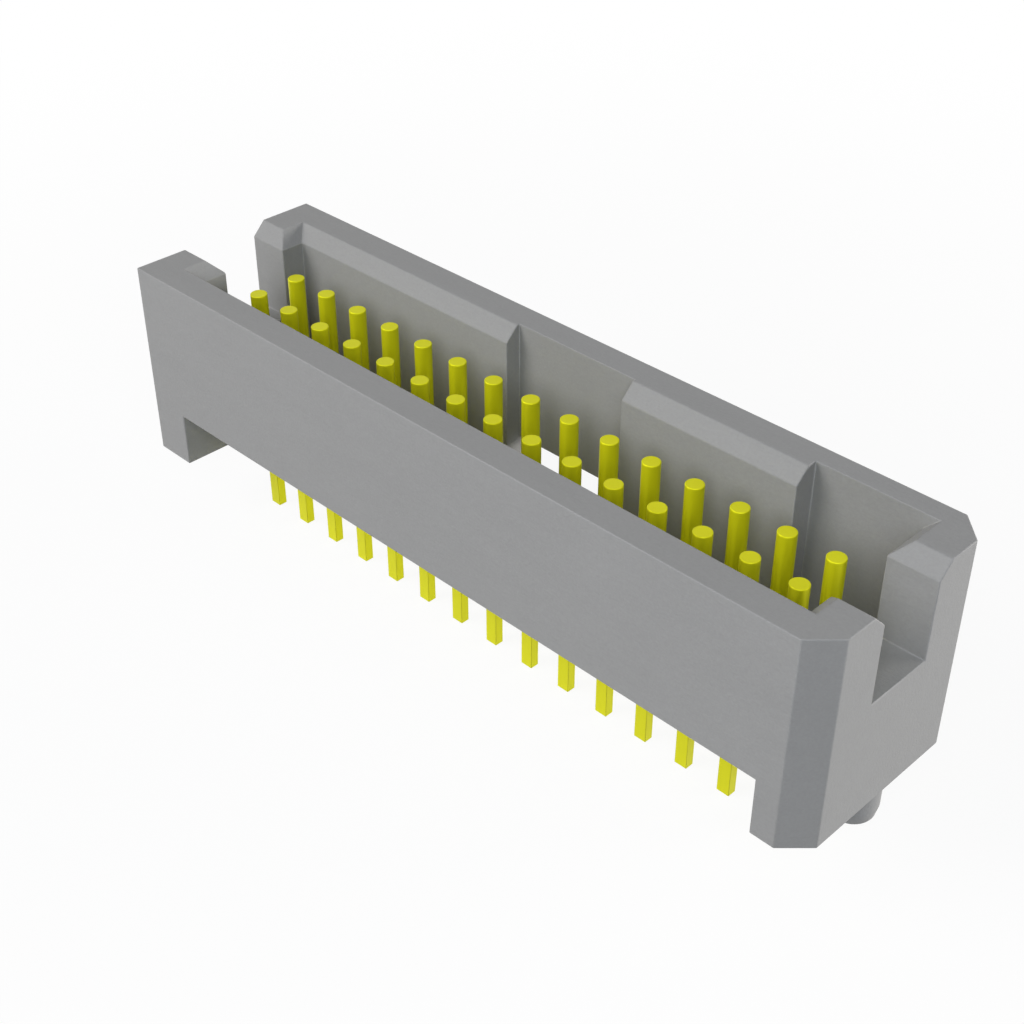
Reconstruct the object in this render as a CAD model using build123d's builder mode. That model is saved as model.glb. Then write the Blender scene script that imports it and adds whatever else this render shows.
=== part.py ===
from build123d import *
import os
from math import isclose

# Two-row shrouded pin header that joins one circuit board to another.
# All sizes are millimetres. Z = 0 is the face of the board that the feet stand on,
# X runs along the rows, and the contact grid is centred on X = 0, Y = 0.
# The polarising recesses are in the wall on the +Y side, and the bevelled corners
# that mark the first contact are at the +X end.

# Contact grid
columns = 15
pitch = 1.27
row_spacing = 1.27

# Cavity that the mating plug enters, and the walls around it
end_margin = 0.9525
side_margin = 1.016
end_wall = 1.27
side_wall = 1.2065
housing_height = 5.588

# Underside: a foot at each end, long walls held clear of the board, a base between
wall_standoff = 1.524
foot_length = 1.27
floor_rise = 0.508
base_thickness = 1.27

# Lead-in round the mouth, and the bevels that mark the first contact
lead_in = 0.381
corner_bevel = 0.635

# Latch slot through each end wall
slot_width = 1.905
slot_depth = 2.4384

# Polarising keyway near the middle of the back wall, and the window below it
keyway_width = 3.81
keyway_depth = 0.457
keyway_offset = 0.0635
window_height = 0.762

# Recess at the +X end of the back wall
recess_length = 2.794
recess_depth = 0.635

# Alignment pegs moulded under the feet, set in from the ends of the housing
peg_inset = 0.6175
peg_diameter = 1.22
peg_tip_diameter = 1.088
peg_straight = 0.538
peg_length = 0.829

# Contact: a round pin in the cavity, a square neck, and a flat blade that ends in the solder tail
pin_diameter = 0.457
pin_length = 2.8
blade_thickness = 0.254
tail_width = 0.356
tail_length = 1.905

# Ledge in the base that stops the blade, below the neck
ledge_depth = 0.254

# Wider part of the blade that the base holds, and the barbs along its sides
shoulder_width = 0.56
shoulder_land = 0.2
barb_count = 2
barb_depth = 0.045
barb_ramp = 0.2
barb_gap = 0.081

# Room between a contact and its hole in the base
contact_clearance = 0.01

# Sizes that follow from the ones above
cavity_length = (columns - 1) * pitch + 2 * end_margin
cavity_width = row_spacing + 2 * side_margin
housing_length = cavity_length + 2 * end_wall
housing_width = cavity_width + 2 * side_wall
cavity_end = cavity_length / 2
cavity_side = cavity_width / 2
span_between_feet = housing_length - 2 * foot_length
peg_centre = housing_length / 2 - peg_inset
wall_height = housing_height - wall_standoff

floor_top = wall_standoff + floor_rise
base_bottom = floor_top - base_thickness
slot_floor = housing_height - slot_depth
ledge = floor_top - ledge_depth
neck_hole = pin_diameter + 2 * contact_clearance

grid = GridLocations(pitch, row_spacing, columns, 2)


def is_mouth_edge(edge):
    """True for an edge of the cavity or of an end slot, and not for the outline or the recess."""
    middle = edge.center()
    on_end_wall = isclose(abs(middle.X), cavity_end, abs_tol=1e-6)
    on_side_wall = isclose(abs(middle.Y), cavity_side, abs_tol=1e-6)
    on_slot = isclose(abs(middle.Y), slot_width / 2, abs_tol=1e-6)
    return on_end_wall or on_side_wall or on_slot


# Moulded housing, one piece with its feet and pegs
with BuildPart() as housing:
    # Outer block, with the two corners at the +X end bevelled
    with BuildSketch():
        Rectangle(housing_length, housing_width)
        chamfer(vertices().group_by(Axis.X)[-1], length=corner_bevel)
    extrude(amount=housing_height)

    # Space under the long walls, from foot to foot
    with BuildSketch():
        Rectangle(span_between_feet, housing_width)
    extrude(amount=wall_standoff, mode=Mode.SUBTRACT)

    # Base that carries the contacts, as wide as the cavity above it
    with BuildSketch(Plane.XY.offset(base_bottom)):
        Rectangle(span_between_feet, cavity_width)
    extrude(amount=base_thickness)

    # Cavity
    with BuildSketch(Plane.XY.offset(floor_top)):
        Rectangle(cavity_length, cavity_width)
    extrude(amount=housing_height - floor_top, mode=Mode.SUBTRACT)

    # Recess in the back wall at the +X end, open below
    with BuildSketch(Plane.XY.offset(wall_standoff)):
        with Locations((cavity_end, cavity_side)):
            Rectangle(recess_length, recess_depth, align=(Align.MAX, Align.MIN))
    extrude(amount=wall_height, mode=Mode.SUBTRACT)

    # Latch slots through both end walls
    with BuildSketch(Plane.XY.offset(slot_floor)):
        Rectangle(housing_length, slot_width)
    extrude(amount=slot_depth, mode=Mode.SUBTRACT)

    # Lead-in that runs round the cavity and out through the slots
    top_edges = edges().filter_by_position(Axis.Z, housing_height, housing_height)
    chamfer(top_edges.filter_by(is_mouth_edge), length=lead_in)

    # Keyway down the inside of the back wall, through the lead-in and open below
    with BuildSketch(Plane.XY.offset(wall_standoff)):
        with Locations((keyway_offset, cavity_side)):
            Rectangle(keyway_width, keyway_depth, align=(Align.CENTER, Align.MIN))
    extrude(amount=wall_height, mode=Mode.SUBTRACT)

    # Window through the foot of the back wall, below the keyway
    with BuildSketch(Plane.XY.offset(wall_standoff)):
        with Locations((keyway_offset, cavity_side)):
            Rectangle(keyway_width, side_wall, align=(Align.CENTER, Align.MIN))
    extrude(amount=window_height, mode=Mode.SUBTRACT)

    # Contact holes: flat up to a ledge, and square from there to the cavity floor
    with BuildSketch(Plane.XY.offset(base_bottom)):
        with grid:
            Rectangle(
                shoulder_width + 2 * contact_clearance,
                blade_thickness + 2 * contact_clearance,
            )
    extrude(amount=ledge - base_bottom, mode=Mode.SUBTRACT)
    with BuildSketch(Plane.XY.offset(ledge)):
        with grid:
            Rectangle(neck_hole, neck_hole)
    extrude(amount=ledge_depth, mode=Mode.SUBTRACT)

    # Alignment pegs with tapered tips
    for peg_x in (-peg_centre, peg_centre):
        with BuildSketch(Plane(origin=(peg_x, 0, 0), x_dir=(1, 0, 0), z_dir=(0, -1, 0))):
            with BuildLine():
                Polyline(
                    (0, 0),
                    (peg_diameter / 2, 0),
                    (peg_diameter / 2, -peg_straight),
                    (peg_tip_diameter / 2, -peg_length),
                    (0, -peg_length),
                    close=True,
                )
            make_face()
        revolve(axis=Axis((peg_x, 0, 0), (0, 0, 1)))


def blade_side():
    """Points down one side of the blade, from the middle of its top to the middle of its tip."""
    outer = shoulder_width / 2
    inner = outer - barb_depth
    height = ledge - shoulder_land
    points = [(0, ledge), (outer, ledge), (outer, height), (inner, height)]
    for _ in range(barb_count):
        height -= barb_gap
        points.append((inner, height))
        height -= barb_ramp
        points += [(outer, height), (inner, height)]
    height -= barb_gap
    points += [(inner, height), (tail_width / 2, height)]
    return points + [(tail_width / 2, -tail_length), (0, -tail_length)]


def make_contact(name, x, y):
    """One contact at its place in the grid, written to its own file."""
    with BuildPart() as contact:
        # Flat blade, cut from strip: shoulder, barbs and solder tail
        with BuildSketch(Plane(origin=(x, y, 0), x_dir=(1, 0, 0), z_dir=(0, -1, 0))):
            with BuildLine():
                Polyline(*blade_side())
                mirror(about=Plane.YZ)
            make_face()
        extrude(amount=blade_thickness / 2, both=True)

        # Square neck that passes the ledge
        with BuildSketch(Plane(origin=(x, y, ledge))):
            Rectangle(pin_diameter, pin_diameter)
        extrude(amount=ledge_depth)

        # Round pin, from the cavity floor up
        with BuildSketch(Plane(origin=(x, y, floor_top))):
            Circle(pin_diameter / 2)
        extrude(amount=pin_length)
    contact.part.label = name
    export_step(contact.part, f"parts/{name}.step")


os.makedirs("parts", exist_ok=True)
housing.part.label = "housing"
export_step(housing.part, "parts/housing.step")

for row, row_y in (("front", -row_spacing / 2), ("back", row_spacing / 2)):
    for column in range(columns):
        column_x = (column - (columns - 1) / 2) * pitch
        make_contact(f"contact_{row}_{column + 1:02d}", column_x, row_y)
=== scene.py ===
from math import asin, cos, pi, radians, sin, sqrt

import bmesh
import bpy
from bpy.props import (
    BoolProperty,
    FloatProperty,
    FloatVectorProperty,
    IntProperty,
    PointerProperty,
)
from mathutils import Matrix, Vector


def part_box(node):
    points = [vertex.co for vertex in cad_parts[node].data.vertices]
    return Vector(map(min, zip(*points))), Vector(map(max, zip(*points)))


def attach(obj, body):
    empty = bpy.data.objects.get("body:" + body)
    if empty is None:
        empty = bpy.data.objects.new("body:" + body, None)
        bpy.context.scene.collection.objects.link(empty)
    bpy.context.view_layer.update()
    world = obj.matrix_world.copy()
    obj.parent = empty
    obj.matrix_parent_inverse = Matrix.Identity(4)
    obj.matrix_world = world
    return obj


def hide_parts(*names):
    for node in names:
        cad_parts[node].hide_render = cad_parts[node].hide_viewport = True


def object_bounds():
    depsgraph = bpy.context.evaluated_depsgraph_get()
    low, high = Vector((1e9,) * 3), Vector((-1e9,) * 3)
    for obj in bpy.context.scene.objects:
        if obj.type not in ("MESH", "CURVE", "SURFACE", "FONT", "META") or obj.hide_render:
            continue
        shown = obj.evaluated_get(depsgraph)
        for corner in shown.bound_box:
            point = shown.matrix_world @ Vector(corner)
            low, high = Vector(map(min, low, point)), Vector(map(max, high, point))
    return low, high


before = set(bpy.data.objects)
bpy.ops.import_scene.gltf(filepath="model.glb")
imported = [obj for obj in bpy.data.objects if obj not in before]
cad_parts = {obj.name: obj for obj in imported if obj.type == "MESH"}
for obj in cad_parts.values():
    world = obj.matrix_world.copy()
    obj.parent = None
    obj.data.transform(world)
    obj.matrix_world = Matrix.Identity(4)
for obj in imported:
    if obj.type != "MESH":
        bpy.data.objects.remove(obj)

bl_info = {
    "name": "Board-to-board pin header",
    "version": (1, 0, 0),
    "blender": (4, 5, 0),
    "location": "View3D > Sidebar > Pin Header",
    "description": "Moulded housing, plated contacts and studio stage of a shrouded two-row pin header",
    "category": "Object",
}

MM = 0.001
CAD_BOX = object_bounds()
CONTACTS = sorted(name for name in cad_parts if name.startswith("contact_"))
CONTACT_BOXES = [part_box(name) for name in CONTACTS]
HOUSING_LOW, HOUSING_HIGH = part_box("housing")
CONTACT_LOW, CONTACT_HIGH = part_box("contact_front_01")
NEXT_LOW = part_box("contact_front_02")[0]
BACK_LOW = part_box("contact_back_01")[0]

# Corners of the solid closer together than this are one corner
SAME_CORNER = 0.0001 * MM

# Height just below the board's face, under which there are only pegs
PEG_ZONE = -0.001 * MM

# Faces that meet at less than this are one flat face
FLAT_ANGLE = radians(1)

# Edges of the moulding that the mould rounds, and edges that stay crisp on a finished piece
ROUNDED_ANGLE = radians(30)
CRISP_ANGLE = radians(50)

# Room round a contact within which an edge belongs to its hole
HOLE_ROOM = 0.03 * MM

# Sides of a peg and of a pin, and the angles up the rounding of a pin's tip
PEG_SIDES = 64
PIN_SIDES = 40
TIP_ANGLES = (30, 60, 90)

# How far the middle of a rounded edge lies inside its corner, as a share of the radius
ROUNDING_INSET = 0.3

# Blade: half width of its tongue as a share of the pin, straight land below the shoulder, gap above a barb
TONGUE_SHARE = 0.4
SHOULDER_LAND = 0.2 * MM
BARB_GAP = 0.081 * MM

# Lamps: name, azimuth and elevation in degrees, width and height in millimetres, level, tint
LAMP_DISTANCE = 120 * MM
LAMPS = (
    ("front_softbox", -35, 32, (80, 80), 0.69, (1.02, 1.0, 0.99)),
    ("end_softbox", 138, 9, (80, 30), 0.78, (1.03, 1.0, 0.97)),
    ("camera_softbox", 44, 36, (80, 80), 0.48, (0.95, 1.0, 1.07)),
)
AMBIENT_TINT = (0.93, 0.98, 1.08, 1)
WHITE = (1, 1, 1, 1)

# Half the floor's width in metres, the camera's sensor in millimetres, and how near and far it sees
FLOOR_HALF = 1.0
SENSOR_WIDTH = 36
NEAREST_SEEN = 1 * MM
FARTHEST_SEEN = 10


class HousingSettings(bpy.types.PropertyGroup):
    """Sizes and finish of the moulded housing."""

    edge_radius: FloatProperty(
        name="Edge radius",
        description="Radius that the mould leaves on every outer edge",
        default=0.026 * MM,
        unit="LENGTH",
        precision=6,
    )
    edge_steps: IntProperty(
        name="Edge steps",
        description="Faces across each rounded edge",
        default=2,
    )
    peg_inset: FloatProperty(
        name="Peg inset",
        description="Distance from the end of the housing to the middle of the peg below it",
        default=0.6175 * MM,
        unit="LENGTH",
        precision=6,
    )
    peg_diameter: FloatProperty(
        name="Peg diameter",
        description="Diameter of the straight part of a peg",
        default=1.22 * MM,
        unit="LENGTH",
        precision=6,
    )
    peg_tip_diameter: FloatProperty(
        name="Peg tip diameter",
        description="Diameter of the end of a peg's tapered tip",
        default=1.088 * MM,
        unit="LENGTH",
        precision=6,
    )
    peg_straight: FloatProperty(
        name="Straight part",
        description="Length of the straight part of a peg",
        default=0.538 * MM,
        unit="LENGTH",
        precision=6,
    )
    peg_length: FloatProperty(
        name="Peg length",
        description="Length of a peg below the board's face",
        default=-HOUSING_LOW.z,
        unit="LENGTH",
        precision=6,
    )
    colour: FloatVectorProperty(
        name="Plastic",
        description="Colour of the moulded plastic",
        default=(0.33, 0.33, 0.327),
        subtype="COLOR",
        min=0.0,
        max=1.0,
    )
    grain_size: FloatProperty(
        name="Grain size",
        description="Width of one grain of the spark-eroded mould texture",
        default=0.07 * MM,
        unit="LENGTH",
        precision=6,
    )
    grain_depth: FloatProperty(
        name="Grain depth",
        description="Depth of the mould texture",
        default=0.004 * MM,
        unit="LENGTH",
        precision=6,
    )


class ContactSettings(bpy.types.PropertyGroup):
    """Sizes and finish of the contacts, and the grid that they stand on."""

    columns: IntProperty(
        name="Columns",
        description="Contacts in one row",
        default=len(CONTACTS) // 2,
    )
    rows: IntProperty(
        name="Rows",
        description="Rows of contacts",
        default=2,
    )
    pitch: FloatProperty(
        name="Pitch",
        description="Distance from one contact to the next along a row",
        default=NEXT_LOW.x - CONTACT_LOW.x,
        unit="LENGTH",
        precision=6,
    )
    row_spacing: FloatProperty(
        name="Row spacing",
        description="Distance from one row to the other",
        default=BACK_LOW.y - CONTACT_LOW.y,
        unit="LENGTH",
        precision=6,
    )
    pin_diameter: FloatProperty(
        name="Pin diameter",
        description="Diameter of the round pin, and width of the square neck below it",
        default=CONTACT_HIGH.y - CONTACT_LOW.y,
        unit="LENGTH",
        precision=6,
    )
    pin_top: FloatProperty(
        name="Pin top",
        description="Height of the pin's top above the board",
        default=CONTACT_HIGH.z,
        unit="LENGTH",
        precision=6,
    )
    tip_radius: FloatProperty(
        name="Tip radius",
        description="Rounding between the pin's side and its flat top",
        default=0.022 * MM,
        unit="LENGTH",
        precision=6,
    )
    floor_height: FloatProperty(
        name="Floor height",
        description="Height of the cavity floor, where the round pin starts",
        default=2.032 * MM,
        unit="LENGTH",
        precision=6,
    )
    ledge_height: FloatProperty(
        name="Ledge height",
        description="Height of the ledge that stops the blade",
        default=1.778 * MM,
        unit="LENGTH",
        precision=6,
    )
    shoulder_width: FloatProperty(
        name="Shoulder width",
        description="Width of the blade where the base holds it",
        default=CONTACT_HIGH.x - CONTACT_LOW.x,
        unit="LENGTH",
        precision=6,
    )
    shoulder_foot: FloatProperty(
        name="Shoulder foot",
        description="Height at which the blade narrows to the tail",
        default=0.935 * MM,
        unit="LENGTH",
        precision=6,
    )
    barb_count: IntProperty(
        name="Barbs",
        description="Barbs on each side of the blade",
        default=2,
    )
    barb_depth: FloatProperty(
        name="Barb depth",
        description="How far a barb stands out of the blade",
        default=0.045 * MM,
        unit="LENGTH",
        precision=6,
    )
    tail_width: FloatProperty(
        name="Tail width",
        description="Width of the solder tail along the row",
        default=0.356 * MM,
        unit="LENGTH",
        precision=6,
    )
    tail_thickness: FloatProperty(
        name="Tail thickness",
        description="Thickness of the strip that blade and tail are cut from",
        default=0.254 * MM,
        unit="LENGTH",
        precision=6,
    )
    tail_tip: FloatProperty(
        name="Tail tip",
        description="Height of the tail's tip, below the board's face",
        default=CONTACT_LOW.z,
        unit="LENGTH",
        precision=6,
    )
    sunk: FloatProperty(
        name="Sunk",
        description="How far the pin and the blade reach into the neck that joins them",
        default=0.06 * MM,
        unit="LENGTH",
        precision=6,
    )
    edge_break: FloatProperty(
        name="Edge break",
        description="Small bevel on the edges of the strip",
        default=0.012 * MM,
        unit="LENGTH",
        precision=6,
    )
    colour: FloatVectorProperty(
        name="Plating",
        description="Colour of the yellow plating",
        default=(0.8, 0.79, 0.012),
        subtype="COLOR",
        min=0.0,
        max=1.0,
    )
    draw_mark_width: FloatProperty(
        name="Draw mark width",
        description="Width of the fine lines that drawing leaves along the metal",
        default=0.02 * MM,
        unit="LENGTH",
        precision=6,
    )


class StageSettings(bpy.types.PropertyGroup):
    """Camera, lamps and floor."""

    aim_height: FloatProperty(
        name="Aim height",
        description="Height of the point that the camera looks at",
        default=1.842 * MM,
        unit="LENGTH",
        precision=6,
    )
    camera_distance: FloatProperty(
        name="Camera distance",
        description="Distance from that point to the camera",
        default=40.14 * MM,
        unit="LENGTH",
        precision=6,
    )
    camera_azimuth: FloatProperty(
        name="Camera azimuth",
        description="Angle of the camera round the header, from the front wall towards the bevelled end",
        default=radians(45),
        subtype="ANGLE",
    )
    camera_elevation: FloatProperty(
        name="Camera elevation",
        description="Angle of the camera above the board",
        default=asin(1 / sqrt(3)),
        subtype="ANGLE",
    )
    focal_length: FloatProperty(
        name="Focal length",
        description="Focal length on a sensor 36 mm wide, in millimetres",
        default=57.08,
    )
    floor_colour: FloatVectorProperty(
        name="Floor",
        description="Colour of the floor",
        default=(0.45, 0.45, 0.45),
        subtype="COLOR",
        min=0.0,
        max=1.0,
    )
    floor_glow: FloatProperty(
        name="Floor glow",
        description="Share of plain white in the floor near the header; the rest takes the shadow",
        default=0.92,
        min=0.0,
        max=1.0,
    )
    fade_start: FloatProperty(
        name="Fade start",
        description="Distance from the header's middle at which the floor begins to fade into the backdrop",
        default=12 * MM,
        unit="LENGTH",
    )
    fade_end: FloatProperty(
        name="Fade end",
        description="Distance from the header's middle at which the floor has become the backdrop",
        default=50 * MM,
        unit="LENGTH",
    )
    ambient: FloatProperty(
        name="Ambient light",
        description="Strength of the even light from all round",
        default=0.03,
    )
    white_backdrop: BoolProperty(
        name="White backdrop",
        description="Show the surroundings as plain white to the camera and in reflections",
        default=True,
    )


class Term:
    """A socket of a shader tree, so that plain arithmetic adds the tree's Math nodes."""

    def __init__(self, finish, socket):
        self.finish = finish
        self.socket = socket

    def _math(self, operation, first, second):
        return self.finish.node("ShaderNodeMath", {"operation": operation}, {0: first, 1: second})

    def __add__(self, other):
        return self._math("ADD", self, other)

    def __radd__(self, other):
        return self._math("ADD", other, self)

    def __mul__(self, other):
        return self._math("MULTIPLY", self, other)

    def __rmul__(self, other):
        return self._math("MULTIPLY", other, self)


class Finish:
    """The tree of a material or of the world, and the ways that nodes are added to it."""

    def __init__(self, owner):
        owner.use_nodes = True
        self.owner = owner
        self.tree = owner.node_tree
        self.tree.nodes.clear()

    def node(self, kind, settings=None, values=None, output=0):
        """One node: its settings, then the values or links of its sockets. Returns one output."""
        made = self.tree.nodes.new(kind)
        for name, value in (settings or {}).items():
            setattr(made, name, value)
        for key, value in (values or {}).items():
            if isinstance(value, Term):
                self.tree.links.new(value.socket, made.inputs[key])
            else:
                made.inputs[key].default_value = value
        return Term(self, made.outputs[output])

    def mix(self, factor, first, second):
        """A colour between two colours."""
        settings = {"data_type": "RGBA", "clamp_factor": True}
        return self.node("ShaderNodeMix", settings, {0: factor, 6: first, 7: second}, 2)

    def stretched(self, place, stretch):
        """The place on the piece, scaled along each axis."""
        settings = {"operation": "MULTIPLY"}
        return self.node("ShaderNodeVectorMath", settings, {0: place, 1: stretch})

    def noise(self, place, width, detail=2.0, roughness=0.5):
        """Soft noise from 0 to 1 whose patches are that many metres wide."""
        values = {"Vector": place, "Scale": 1 / width, "Detail": detail, "Roughness": roughness}
        return self.node("ShaderNodeTexNoise", {}, values)

    def contrast(self, value, gain):
        """A value from 0 to 1 pushed away from its middle."""
        settings = {"operation": "MULTIPLY_ADD", "use_clamp": True}
        return self.node("ShaderNodeMath", settings, {0: value, 1: gain, 2: 0.5 - gain / 2})

    def surface(self, shader):
        """Ends the tree in that shader."""
        world = isinstance(self.owner, bpy.types.World)
        end = self.tree.nodes.new("ShaderNodeOutputWorld" if world else "ShaderNodeOutputMaterial")
        self.tree.links.new(shader.socket, end.inputs["Surface"])


def shade(colour, factor):
    """A colour made lighter or darker, with an alpha of 1."""
    return tuple(min(1.0, part * factor) for part in colour) + (1.0,)


def moulded_plastic(sizes):
    """Matte grey plastic: flow marks, glass fibre under the skin, and the mould's spark-eroded grain."""
    finish = Finish(bpy.data.materials.new("grey_moulded_plastic"))
    place = finish.node("ShaderNodeTexCoord", output="Object")
    clouds = finish.noise(place, width=3.0 * MM)
    streaks = finish.noise(finish.stretched(place, (0.1, 1.0, 0.7)), width=0.35 * MM, detail=3.0)
    flow = finish.contrast(streaks, gain=2.0)
    strands = finish.noise(finish.stretched(place, (0.2, 1.0, 1.0)), width=0.035 * MM, detail=1.0)
    fibres = finish.contrast(strands, gain=2.5)
    pits = finish.noise(place, width=sizes.grain_size, detail=3.0, roughness=0.6)
    grain = finish.contrast(pits, gain=2.0)
    tone = 0.36 * clouds + 0.12 * flow + 0.14 * fibres + 0.38 * grain
    colour = finish.mix(tone, shade(sizes.colour, 0.87), shade(sizes.colour, 1.13))
    roughness = 0.46 + 0.14 * clouds + 0.16 * grain
    height = grain + 0.4 * fibres
    values = {"Strength": 0.8, "Distance": sizes.grain_depth, "Height": height}
    bump = finish.node("ShaderNodeBump", {}, values)
    values = {
        "Base Color": colour,
        "Roughness": roughness,
        "Specular IOR Level": 0.35,
        "Normal": bump,
    }
    finish.surface(finish.node("ShaderNodeBsdfPrincipled", {}, values))
    return finish.owner


def yellow_plating(sizes):
    """Bright yellow plating on drawn metal, with fine draw marks and a slightly uneven tone."""
    finish = Finish(bpy.data.materials.new("yellow_plating"))
    place = finish.node("ShaderNodeTexCoord", output="Object")
    marks = finish.noise(finish.stretched(place, (1.0, 1.0, 0.03)), width=sizes.draw_mark_width)
    patches = finish.noise(place, width=0.9 * MM)
    tone = 0.6 * patches + 0.4 * marks
    colour = finish.mix(tone, shade(sizes.colour, 0.93), shade(sizes.colour, 1.07))
    roughness = 0.26 + 0.12 * patches + 0.1 * marks
    values = {"Strength": 0.35, "Distance": 0.0012 * MM, "Height": marks}
    bump = finish.node("ShaderNodeBump", {}, values)
    values = {
        "Base Color": colour,
        "Metallic": 0.3,
        "Specular IOR Level": 0.1,
        "Roughness": roughness,
        "Normal": bump,
    }
    finish.surface(finish.node("ShaderNodeBsdfPrincipled", {}, values))
    return finish.owner


def add_object(name, mesh):
    """A new object of that mesh, at the origin."""
    made = bpy.data.objects.new(name, mesh)
    bpy.context.scene.collection.objects.link(made)
    return made


def sharp_edges(bm, limit):
    """Edges at which two faces meet at more than that angle."""
    found = []
    for edge in bm.edges:
        if len(edge.link_faces) == 2 and edge.calc_face_angle() > limit:
            found.append(edge)
    return found


def round_edges(bm, edges, radius, steps):
    """Rounds those edges, and smooths only the new faces so that the flat ones stay flat."""
    made = bmesh.ops.bevel(
        bm,
        geom=edges,
        offset=radius,
        offset_type="OFFSET",
        segments=steps,
        profile=0.5,
        affect="EDGES",
        clamp_overlap=True,
    )
    for face in made["faces"]:
        face.smooth = True


def fused(name, solids):
    """One closed mesh from solids that overlap, with its crisp edges marked."""
    parts = []
    for bm in solids:
        mesh = bpy.data.meshes.new(name)
        bm.to_mesh(mesh)
        bm.free()
        parts.append(add_object(name, mesh))
    for part in parts[1:]:
        union = parts[0].modifiers.new("union", "BOOLEAN")
        union.operation = "UNION"
        union.solver = "EXACT"
        union.object = part
    joined = parts[0].evaluated_get(bpy.context.evaluated_depsgraph_get())
    made = bpy.data.meshes.new_from_object(joined)
    made.name = name
    made.materials.clear()
    for part in parts:
        bpy.data.objects.remove(part)
    bm = bmesh.new()
    bm.from_mesh(made)
    for edge in sharp_edges(bm, CRISP_ANGLE):
        edge.smooth = False
    bm.to_mesh(made)
    bm.free()
    return made


def moulded_housing(sizes):
    """The housing's solid with its mesh cleaned, every outer edge rounded, and round pegs."""
    bm = bmesh.new()
    bm.from_mesh(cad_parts["housing"].data)
    bmesh.ops.remove_doubles(bm, verts=bm.verts, dist=SAME_CORNER)
    cut_pegs_off(bm)
    bmesh.ops.dissolve_limit(bm, angle_limit=FLAT_ANGLE, verts=bm.verts, edges=bm.edges)
    bmesh.ops.recalc_face_normals(bm, faces=bm.faces)
    outer = [edge for edge in sharp_edges(bm, ROUNDED_ANGLE) if not in_contact_hole(edge)]
    round_edges(bm, outer, sizes.edge_radius, sizes.edge_steps)
    solids = [bm]
    for middle in (HOUSING_LOW.x + sizes.peg_inset, HOUSING_HIGH.x - sizes.peg_inset):
        solids.append(turned(peg_outline(sizes), PEG_SIDES, middle))
    mesh = fused("housing_moulding", solids)
    mesh.materials.append(moulded_plastic(sizes))
    return mesh


def cut_pegs_off(bm):
    """Takes away what lies below the board's face and closes the feet again."""
    pegs = [corner for corner in bm.verts if corner.co.z < PEG_ZONE]
    bmesh.ops.delete(bm, geom=pegs, context="VERTS")
    rims = [edge for edge in bm.edges if edge.is_boundary]
    bmesh.ops.holes_fill(bm, edges=rims, sides=0)


def in_contact_hole(edge):
    """True for the edges inside a contact hole and round its mouths."""
    middle = (edge.verts[0].co + edge.verts[1].co) / 2
    for low, high in CONTACT_BOXES:
        along = low.x - HOLE_ROOM < middle.x < high.x + HOLE_ROOM
        across = low.y - HOLE_ROOM < middle.y < high.y + HOLE_ROOM
        if along and across:
            return True
    return False


def peg_outline(sizes):
    """Radius and height up the side of a peg: rounded tip, taper, straight part, root in the foot."""
    radius = sizes.peg_diameter / 2
    tip = sizes.peg_tip_diameter / 2
    bottom = -sizes.peg_length
    shoulder = -sizes.peg_straight
    edge = sizes.edge_radius
    inset = ROUNDING_INSET * edge
    lean = (radius - tip) / (shoulder - bottom)
    return [
        (tip - edge, bottom),
        (tip - inset, bottom + inset),
        (tip + lean * edge, bottom + edge),
        (radius - lean * edge, shoulder - edge),
        (radius, shoulder),
        (radius, shoulder + edge),
        (radius, 2 * edge),
    ]


def turned(outline, sides, middle=0.0):
    """A closed round solid from the radii and heights up its side, with its axis that far along X."""
    bm = bmesh.new()
    rings = []
    for radius, height in outline:
        ring = []
        for step in range(sides):
            angle = radians(360 * step / sides)
            ring.append(bm.verts.new((middle + radius * cos(angle), radius * sin(angle), height)))
        rings.append(ring)
    for lower, upper in zip(rings, rings[1:]):
        for step in range(sides):
            after = (step + 1) % sides
            face = bm.faces.new((lower[step], lower[after], upper[after], upper[step]))
            face.smooth = True
    bm.faces.new(list(reversed(rings[0])))
    bm.faces.new(rings[-1])
    return bm


def cut_strip(outline, thickness, edge_break):
    """A flat piece of strip: an outline of X and Z points, given a thickness in Y and broken edges."""
    bm = bmesh.new()
    front = [bm.verts.new((x, -thickness / 2, z)) for x, z in outline]
    back = [bm.verts.new((x, thickness / 2, z)) for x, z in outline]
    bm.faces.new(front)
    bm.faces.new(list(reversed(back)))
    for step in range(len(outline)):
        after = (step + 1) % len(outline)
        bm.faces.new((front[after], front[step], back[step], back[after]))
    bmesh.ops.recalc_face_normals(bm, faces=bm.faces)
    round_edges(bm, bm.edges[:], edge_break, 1)
    return bm


def blade_outline(sizes):
    """Points round the blade: tongue into the neck, shoulder, barbs down each side, and solder tail."""
    tongue = TONGUE_SHARE * sizes.pin_diameter
    outer = sizes.shoulder_width / 2
    inner = outer - sizes.barb_depth
    tail = sizes.tail_width / 2
    top = sizes.ledge_height
    land = top - SHOULDER_LAND
    step = (land - sizes.shoulder_foot - BARB_GAP) / sizes.barb_count
    side = [(tongue, top + sizes.sunk), (tongue, top), (outer, top), (outer, land), (inner, land)]
    for barb in range(sizes.barb_count):
        start = land - barb * step
        side += [(inner, start - BARB_GAP), (outer, start - step), (inner, start - step)]
    side += [(inner, sizes.shoulder_foot), (tail, sizes.shoulder_foot), (tail, sizes.tail_tip)]
    return side + [(-x, z) for x, z in reversed(side)]


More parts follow.
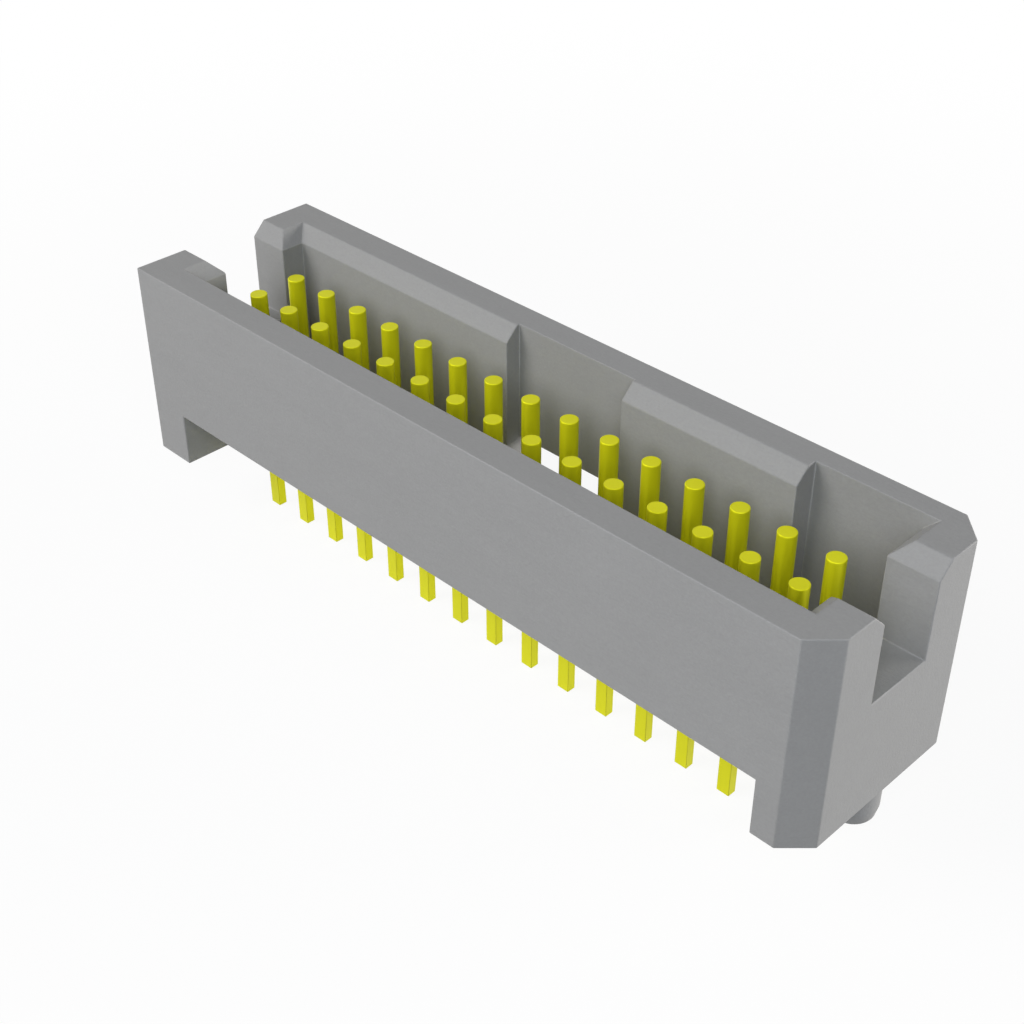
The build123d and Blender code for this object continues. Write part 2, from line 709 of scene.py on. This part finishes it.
def plated_contact(sizes, plating):
    """One contact round the Z axis: round pin with a rounded tip, square neck, barbed blade and tail."""
    radius = sizes.pin_diameter / 2
    neck = [
        (-radius, sizes.ledge_height),
        (radius, sizes.ledge_height),
        (radius, sizes.floor_height),
        (-radius, sizes.floor_height),
    ]
    tip = sizes.tip_radius
    pin = [
        (radius, sizes.floor_height - sizes.sunk),
        (radius, sizes.pin_top - 2 * tip),
        (radius, sizes.pin_top - tip),
    ]
    for degrees in TIP_ANGLES:
        angle = radians(degrees)
        pin.append((radius - tip + tip * cos(angle), sizes.pin_top - tip + tip * sin(angle)))
    solids = [
        cut_strip(blade_outline(sizes), sizes.tail_thickness, sizes.edge_break),
        cut_strip(neck, sizes.pin_diameter, sizes.edge_break),
        turned(pin, PIN_SIDES),
    ]
    mesh = fused("contact_shape", solids)
    mesh.materials.append(plating)
    return mesh


def contact_grid_tree():
    """Geometry nodes that stand one contact on every point of the grid."""
    tree = bpy.data.node_groups.new("contact_grid", "GeometryNodeTree")
    for name, kind in (
        ("Contact", "NodeSocketObject"),
        ("Columns", "NodeSocketInt"),
        ("Rows", "NodeSocketInt"),
        ("Pitch", "NodeSocketFloat"),
        ("Row Spacing", "NodeSocketFloat"),
        ("Plating", "NodeSocketMaterial"),
    ):
        tree.interface.new_socket(name=name, in_out="INPUT", socket_type=kind)
    tree.interface.new_socket(name="Geometry", in_out="OUTPUT", socket_type="NodeSocketGeometry")
    inlet = tree.nodes.new("NodeGroupInput").outputs

    def span(count, distance):
        gaps = tree.nodes.new("ShaderNodeMath")
        gaps.operation = "SUBTRACT"
        gaps.inputs[1].default_value = 1.0
        tree.links.new(count, gaps.inputs[0])
        length = tree.nodes.new("ShaderNodeMath")
        length.operation = "MULTIPLY"
        tree.links.new(gaps.outputs[0], length.inputs[0])
        tree.links.new(distance, length.inputs[1])
        return length.outputs[0]

    grid = tree.nodes.new("GeometryNodeMeshGrid")
    shape = tree.nodes.new("GeometryNodeObjectInfo")
    place = tree.nodes.new("GeometryNodeInstanceOnPoints")
    real = tree.nodes.new("GeometryNodeRealizeInstances")
    plate = tree.nodes.new("GeometryNodeSetMaterial")
    outlet = tree.nodes.new("NodeGroupOutput")
    for source, target in (
        (span(inlet["Columns"], inlet["Pitch"]), grid.inputs["Size X"]),
        (span(inlet["Rows"], inlet["Row Spacing"]), grid.inputs["Size Y"]),
        (inlet["Columns"], grid.inputs["Vertices X"]),
        (inlet["Rows"], grid.inputs["Vertices Y"]),
        (inlet["Contact"], shape.inputs["Object"]),
        (grid.outputs["Mesh"], place.inputs["Points"]),
        (shape.outputs["Geometry"], place.inputs["Instance"]),
        (place.outputs["Instances"], real.inputs["Geometry"]),
        (real.outputs["Geometry"], plate.inputs["Geometry"]),
        (inlet["Plating"], plate.inputs["Material"]),
        (plate.outputs["Geometry"], outlet.inputs["Geometry"]),
    ):
        tree.links.new(source, target)
    return tree


def set_inputs(modifier, values):
    """Sets a modifier's named inputs by their sockets' identifiers."""
    for item in modifier.node_group.interface.items_tree:
        if item.item_type == "SOCKET" and item.in_out == "INPUT":
            modifier[item.identifier] = values[item.name]


class PINHEADER_OT_housing(bpy.types.Operator):
    """Make the moulded housing with rounded edges and its plastic finish"""

    bl_idname = "pin_header.housing"
    bl_label = "Mould Housing"

    def execute(self, context):
        mesh = moulded_housing(context.scene.header_housing)
        if not mesh.polygons:
            raise RuntimeError("the housing came out empty")
        housing = add_object("housing_moulding", mesh)
        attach(housing, "root")
        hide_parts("housing")
        return {"FINISHED"}


class PINHEADER_OT_contacts(bpy.types.Operator):
    """Make one plated contact and repeat it over the grid"""

    bl_idname = "pin_header.contacts"
    bl_label = "Plate Contacts"

    def execute(self, context):
        sizes = context.scene.header_contacts
        plating = yellow_plating(sizes)
        pattern = add_object("contact_pattern", plated_contact(sizes, plating))
        holder = add_object("contact_holder", bpy.data.meshes.new("contact_holder"))
        modifier = holder.modifiers.new("contact_grid", "NODES")
        modifier.node_group = contact_grid_tree()
        values = {
            "Contact": pattern,
            "Columns": sizes.columns,
            "Rows": sizes.rows,
            "Pitch": sizes.pitch,
            "Row Spacing": sizes.row_spacing,
            "Plating": plating,
        }
        set_inputs(modifier, values)
        evaluated = holder.evaluated_get(context.evaluated_depsgraph_get())
        contacts = add_object("contacts", bpy.data.meshes.new_from_object(evaluated))
        bpy.data.objects.remove(holder)
        bpy.data.objects.remove(pattern)
        if not contacts.data.polygons:
            raise RuntimeError("the contact grid came out empty")
        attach(contacts, "root")
        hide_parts(*CONTACTS)
        return {"FINISHED"}


def towards(azimuth, elevation):
    """Direction from the header, turned from the front wall towards the bevelled end and then up."""
    return Vector((cos(elevation) * sin(azimuth), -cos(elevation) * cos(azimuth), sin(elevation)))


def add_lamp(aim, name, azimuth, elevation, size, level, tint):
    """A soft lamp whose level is the brightness that it gives a white surface facing it."""
    light = bpy.data.lights.new(name, "AREA")
    light.shape = "RECTANGLE"
    light.size = size[0] * MM
    light.size_y = size[1] * MM
    light.energy = level * (pi * LAMP_DISTANCE) ** 2
    light.color = tint
    lamp = add_object(name, light)
    away = towards(radians(azimuth), radians(elevation))
    lamp.location = aim + away * LAMP_DISTANCE
    lamp.rotation_euler = away.to_track_quat("Z", "Y").to_euler()
    lamp.visible_camera = False


def seen_directly(finish):
    """1 where the camera, a reflection or glass sees the surroundings, and 0 for their light."""
    ray = finish.tree.nodes.new("ShaderNodeLightPath").outputs
    seen = Term(finish, ray["Is Camera Ray"])
    for name in ("Is Glossy Ray", "Is Transmission Ray"):
        seen = finish.node("ShaderNodeMath", {"operation": "MAXIMUM"}, {0: seen, 1: Term(finish, ray[name])})
    return seen


class PINHEADER_OT_stage(bpy.types.Operator):
    """Set the floor, backdrop, lamps and camera"""

    bl_idname = "pin_header.stage"
    bl_label = "Set Stage"

    def execute(self, context):
        stage = context.scene.header_stage
        aim = Vector((0, 0, stage.aim_height))
        self.add_floor(stage)
        self.light_surroundings(context, stage)
        for lamp in LAMPS:
            add_lamp(aim, *lamp)
        self.set_camera(context, stage, aim)
        context.scene.view_settings.view_transform = "Standard"
        return {"FINISHED"}

    def add_floor(self, stage):
        height = CAD_BOX[0][2]
        bm = bmesh.new()
        corners = ((-1, -1), (1, -1), (1, 1), (-1, 1))
        bm.faces.new([bm.verts.new((FLOOR_HALF * x, FLOOR_HALF * y, height)) for x, y in corners])
        mesh = bpy.data.meshes.new("floor")
        bm.to_mesh(mesh)
        bm.free()
        finish = Finish(bpy.data.materials.new("pale_floor"))
        seen = seen_directly(finish) if stage.white_backdrop else 0.0
        paint = finish.mix(seen, shade(stage.floor_colour, 1), WHITE)
        matte = finish.node("ShaderNodeBsdfDiffuse", {}, {"Color": paint})
        white = finish.node("ShaderNodeEmission", {}, {"Strength": 1.0})
        place = finish.node("ShaderNodeTexCoord", output="Object")
        away = finish.node("ShaderNodeVectorMath", {"operation": "LENGTH"}, {0: place}, 1)
        fade = {0: away, 1: stage.fade_start, 2: stage.fade_end, 3: stage.floor_glow, 4: 1.0}
        glow = finish.node("ShaderNodeMapRange", {"interpolation_type": "SMOOTHSTEP"}, fade)
        top = finish.node("ShaderNodeMixShader", {}, {0: glow * seen, 1: matte, 2: white})
        clear = finish.node("ShaderNodeBsdfTransparent")
        from_below = finish.node("ShaderNodeNewGeometry", output="Backfacing")
        finish.surface(finish.node("ShaderNodeMixShader", {}, {0: from_below, 1: top, 2: clear}))
        mesh.materials.append(finish.owner)
        floor = add_object("floor", mesh)

    def light_surroundings(self, context, stage):
        world = bpy.data.worlds.new("soft_surroundings")
        context.scene.world = world
        finish = Finish(world)
        values = {"Color": AMBIENT_TINT, "Strength": stage.ambient}
        soft = finish.node("ShaderNodeBackground", {}, values)
        white = finish.node("ShaderNodeBackground", {}, {"Color": WHITE, "Strength": 1.0})
        share = seen_directly(finish) if stage.white_backdrop else 0.0
        finish.surface(finish.node("ShaderNodeMixShader", {}, {0: share, 1: soft, 2: white}))

    def set_camera(self, context, stage, aim):
        camera = add_object("camera", bpy.data.cameras.new("camera"))
        camera.data.sensor_width = SENSOR_WIDTH
        camera.data.lens = stage.focal_length
        camera.data.clip_start = NEAREST_SEEN
        camera.data.clip_end = FARTHEST_SEEN
        away = towards(stage.camera_azimuth, stage.camera_elevation)
        camera.location = aim + away * stage.camera_distance
        camera.rotation_euler = away.to_track_quat("Z", "Y").to_euler()
        context.scene.camera = camera


class PINHEADER_PT_parts(bpy.types.Panel):
    """Lists the header's pieces and their settings"""

    bl_label = "Pin Header"
    bl_space_type = "VIEW_3D"
    bl_region_type = "UI"
    bl_category = "Pin Header"

    def draw(self, context):
        scene = context.scene
        for settings, operator in (
            (scene.header_housing, PINHEADER_OT_housing),
            (scene.header_contacts, PINHEADER_OT_contacts),
            (scene.header_stage, PINHEADER_OT_stage),
        ):
            box = self.layout.box()
            for name in type(settings).__annotations__:
                box.prop(settings, name)
            box.operator(operator.bl_idname)


SETTINGS = (
    ("header_housing", HousingSettings),
    ("header_contacts", ContactSettings),
    ("header_stage", StageSettings),
)
TOOLS = (PINHEADER_OT_housing, PINHEADER_OT_contacts, PINHEADER_OT_stage, PINHEADER_PT_parts)


def register():
    for name, group in SETTINGS:
        bpy.utils.register_class(group)
        setattr(bpy.types.Scene, name, PointerProperty(type=group))
    for tool in TOOLS:
        bpy.utils.register_class(tool)


def unregister():
    for tool in reversed(TOOLS):
        bpy.utils.unregister_class(tool)
    for name, group in reversed(SETTINGS):
        delattr(bpy.types.Scene, name)
        bpy.utils.unregister_class(group)


def main():
    register()
    bpy.ops.pin_header.housing()
    bpy.ops.pin_header.contacts()
    bpy.ops.pin_header.stage()


if __name__ == "__main__":
    main()
